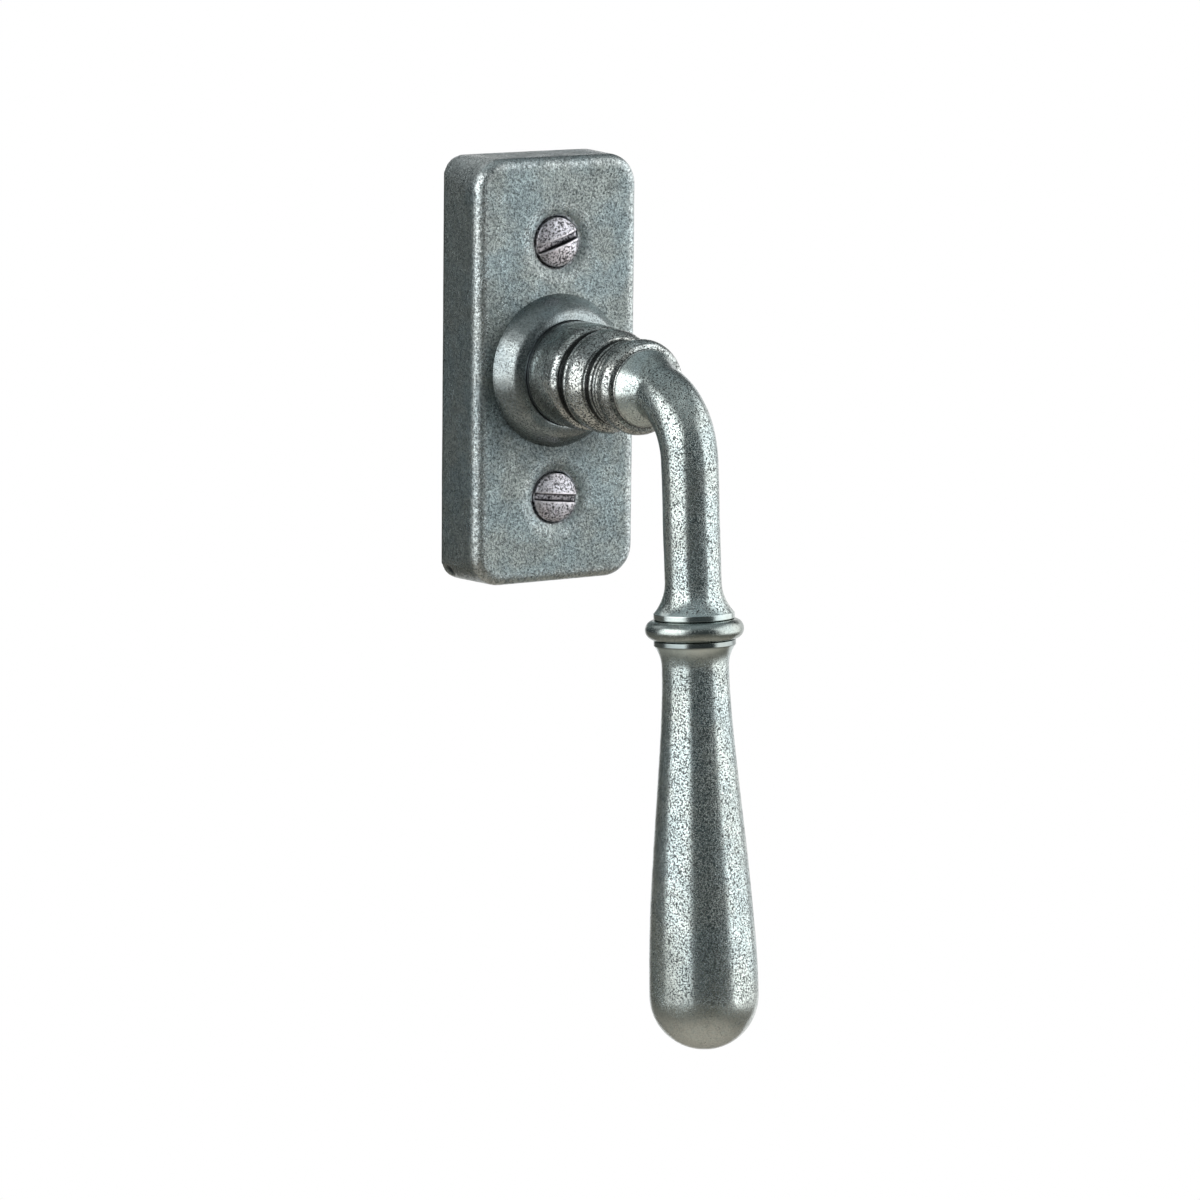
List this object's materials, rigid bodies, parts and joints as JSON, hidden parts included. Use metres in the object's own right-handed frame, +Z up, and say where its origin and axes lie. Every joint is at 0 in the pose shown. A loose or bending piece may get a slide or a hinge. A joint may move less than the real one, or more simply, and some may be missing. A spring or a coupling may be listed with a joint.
{
  "type": "window handle",
  "caption": "Forged window handle: oblong plate, round boss, turned neck and a drop-shaped lever with a bead collar, on a square spindle with a quarter-turn detent.",
  "frame": {"origin": "where the spindle's axis meets the plane of the plate's back face, midway between the two fixing screws", "axes": "+Z up along the plate, +Y into the window frame along the spindle, +X to the right seen from the room; the lever hangs down along -Z"},
  "size_m": [0.0316, 0.0871, 0.1425],
  "materials": {
    "forged_plate": "etched pewter patina with worn bright edges",
    "forged_boss": "smoother pewter patina",
    "turned_neck": "turned and patinated, dark in the grooves",
    "turned_steel": "turned, satin, waxed",
    "forged_lever": "forged, pitted and waxed",
    "screw_steel": "satin, slightly pitted",
    "zinc_plated_steel": "zinc plated",
    "spring_steel": "hardened, lightly oiled",
    "cam_steel": "sintered, oiled",
    "housing_plastic": "moulded, matt"
  },
  "bodies": {
    "fixed_plate": {"backplate": "forged_plate", "boss_collar": "forged_boss", "neck_bush": "turned_steel", "rear_cover": "zinc_plated_steel", "rear_cover_screws": "zinc_plated_steel", "detent_housing": "housing_plastic", "detent_spring_left": "spring_steel", "detent_spring_right": "spring_steel", "fixing_screw_upper": "screw_steel", "fixing_screw_lower": "screw_steel", "thrust_washer": "spring_steel"},
    "turning_handle": {"handle_neck": "turned_neck", "lever_bar": "forged_lever", "bead_collar": "turned_steel", "grip": "forged_lever", "spindle": "zinc_plated_steel", "spindle_pin": "spring_steel", "index_cam": "cam_steel", "disc_spring": "spring_steel", "circlip": "spring_steel"}
  },
  "joints": [
    {"name": "handle_turn", "type": "hinge", "parent": "fixed_plate", "child": "turning_handle", "pos_m": [0, 0, 0], "axis": [0, 1, 0], "continuous": true, "deforming": ["detent_spring_left", "detent_spring_right"]}
  ]
}
